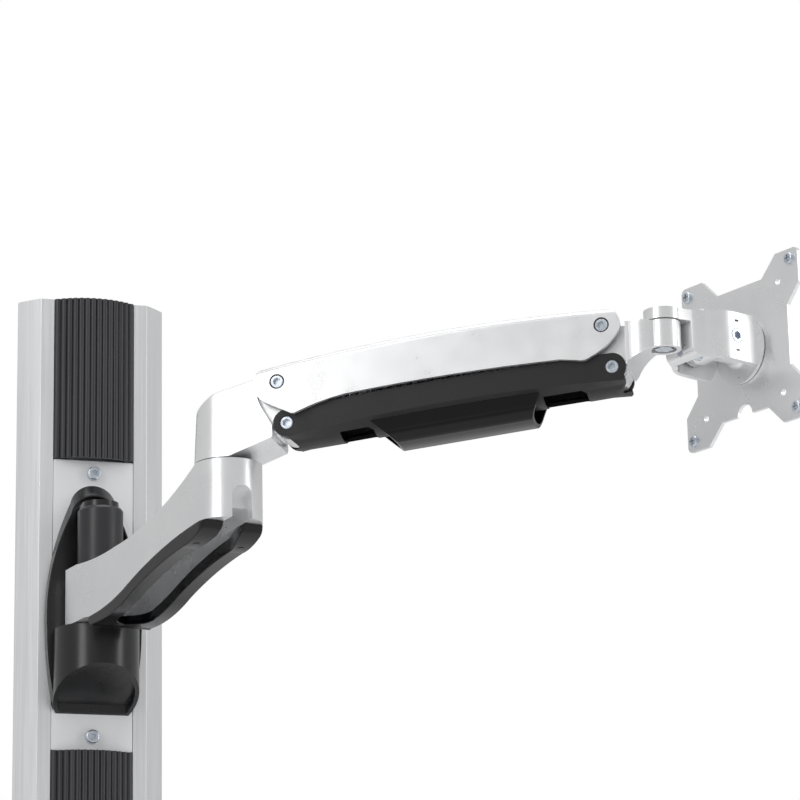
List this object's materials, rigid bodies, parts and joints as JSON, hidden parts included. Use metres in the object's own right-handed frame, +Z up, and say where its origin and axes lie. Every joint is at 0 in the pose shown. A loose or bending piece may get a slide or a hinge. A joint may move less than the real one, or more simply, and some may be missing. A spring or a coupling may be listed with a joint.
{
  "type": "wall-track monitor arm",
  "caption": "Wall-track monitor arm: ribbed track, swivelling lower arm, spring-balanced parallel lift arm, pan and tilt head, and star-shaped screen plate.",
  "frame": {"origin": "on the wall plane, straight behind the centre of the bracket plate", "axes": "+Z up, +X right along the wall seen from the room, +Y into the wall, -Y out into the room"},
  "size_m": [0.4416, 0.4241, 0.4542],
  "materials": {
    "silver_casting": "satin silver",
    "anodised_track": "satin anodised",
    "plate_steel": "satin silver",
    "black_casting": "satin black",
    "ribbed_cover": "satin charcoal",
    "gloss_black_plastic": "gloss",
    "fine_texture_black": "fine texture",
    "dark_sleeve": "satin dark grey",
    "zinc_fastener": "zinc plated",
    "spring_steel": "oiled spring steel",
    "nylon": "dark nylon"
  },
  "bodies": {
    "wall_mount": {"track_extrusion": "anodised_track", "cover_strip_upper": "ribbed_cover", "cover_strip_lower": "ribbed_cover", "bracket_plate": "plate_steel", "bracket_bolt_upper": "zinc_fastener", "bracket_bolt_lower": "zinc_fastener", "clamp_bar_upper": "zinc_fastener", "clamp_bar_lower": "zinc_fastener", "pivot_housing": "black_casting", "housing_screw_left": "zinc_fastener", "housing_screw_right": "zinc_fastener", "base_shaft": "zinc_fastener", "spacer_sleeve": "dark_sleeve"},
    "lower_arm": {"lower_arm_casting": "silver_casting", "base_bushing_lower": "nylon", "base_bushing_upper": "nylon", "base_thrust_washer": "nylon", "cable_lip_left": "gloss_black_plastic", "cable_lip_right": "gloss_black_plastic", "elbow_shaft": "zinc_fastener", "elbow_thrust_washer": "nylon"},
    "elbow_bracket": {"elbow_bracket": "silver_casting", "elbow_bushing": "nylon", "elbow_retaining_screw": "zinc_fastener", "elbow_cap": "dark_sleeve", "rear_upper_pin": "zinc_fastener", "rear_lower_pin": "zinc_fastener", "spring_anchor_pin": "zinc_fastener"},
    "upper_link": {"upper_link_shell": "silver_casting", "upper_link_rear_bushings": "dark_sleeve", "upper_link_front_bushings": "dark_sleeve"},
    "lower_link": {"lower_link_shell": "fine_texture_black", "lower_link_rear_bushings": "dark_sleeve", "lower_link_front_bushings": "dark_sleeve", "arm_cable_clip": "gloss_black_plastic", "spring_seat": "zinc_fastener", "lift_spring": "spring_steel"},
    "pull_rod": {"pull_rod": "zinc_fastener", "tension_washer": "zinc_fastener", "tension_nut": "zinc_fastener"},
    "front_bracket": {"front_bracket": "silver_casting", "front_upper_pin": "zinc_fastener", "front_lower_pin": "zinc_fastener"},
    "pan_head": {"pan_washer": "nylon", "pan_head": "silver_casting", "pan_bolt": "zinc_fastener", "pan_nut": "zinc_fastener", "tilt_axle": "zinc_fastener", "tilt_spring": "spring_steel", "tilt_adjust_screw": "zinc_fastener"},
    "tilt_block": {"tilt_block": "silver_casting", "rotation_washer": "nylon", "rotation_screw": "zinc_fastener"},
    "screen_plate": {"vesa_plate": "silver_casting", "vesa_screw_1": "zinc_fastener", "vesa_screw_2": "zinc_fastener", "vesa_screw_3": "zinc_fastener", "vesa_screw_4": "zinc_fastener"}
  },
  "joints": [
    {"name": "base_swivel", "type": "hinge", "parent": "wall_mount", "child": "lower_arm", "pos_m": [0, -0.0423, 0], "axis": [0, 0, 1], "range_deg": [-92, 70]},
    {"name": "elbow_swivel", "type": "hinge", "parent": "lower_arm", "child": "elbow_bracket", "pos_m": [0.04231, -0.25401, 0], "axis": [0, 0, 1], "range_deg": [-180, 80]},
    {"name": "lift", "type": "hinge", "parent": "elbow_bracket", "child": "lower_link", "pos_m": [0.08141, -0.27537, 0.0638], "axis": [-0.4793, -0.8776, 0], "range_deg": [-35.5, 39.5]},
    {"name": "upper_link_swing", "type": "hinge", "parent": "elbow_bracket", "child": "upper_link", "pos_m": [0.07671, -0.2728, 0.091], "axis": [-0.4793, -0.8776, 0], "range_deg": [-35.5, 39.5]},
    {"name": "front_levelling", "type": "hinge", "parent": "lower_link", "child": "front_bracket", "pos_m": [0.26963, -0.37816, 0.08434], "axis": [-0.4793, -0.8776, 0], "range_deg": [-39.5, 35.5]},
    {"name": "spring_pull", "type": "slide", "parent": "lower_link", "child": "pull_rod", "axis": [0.8737, -0.4771, 0.0953], "range_m": [-0.0082, 0.0091], "deforming": ["lift_spring"]},
    {"name": "pan", "type": "hinge", "parent": "front_bracket", "child": "pan_head", "pos_m": [0.29731, -0.39328, 0], "axis": [0, 0, 1], "range_deg": [-125, 30]},
    {"name": "tilt", "type": "hinge", "parent": "pan_head", "child": "tilt_block", "pos_m": [0.33615, -0.37935, 0.1088], "axis": [0.3374, -0.9414, 0], "range_deg": [-25, 70]},
    {"name": "screen_rotation", "type": "hinge", "parent": "tilt_block", "child": "screen_plate", "pos_m": [0.36344, -0.36957, 0.1088], "axis": [0.9414, 0.3374, 0], "range_deg": [-90, 90]}
  ],
  "couplings": [
    {"joint": "upper_link_swing", "follows": "lift", "ratio": 1},
    {"joint": "front_levelling", "follows": "lift", "ratio": -1},
    {"joint": "spring_pull", "follows": "lift", "m_per_rad": 0.01276}
  ]
}
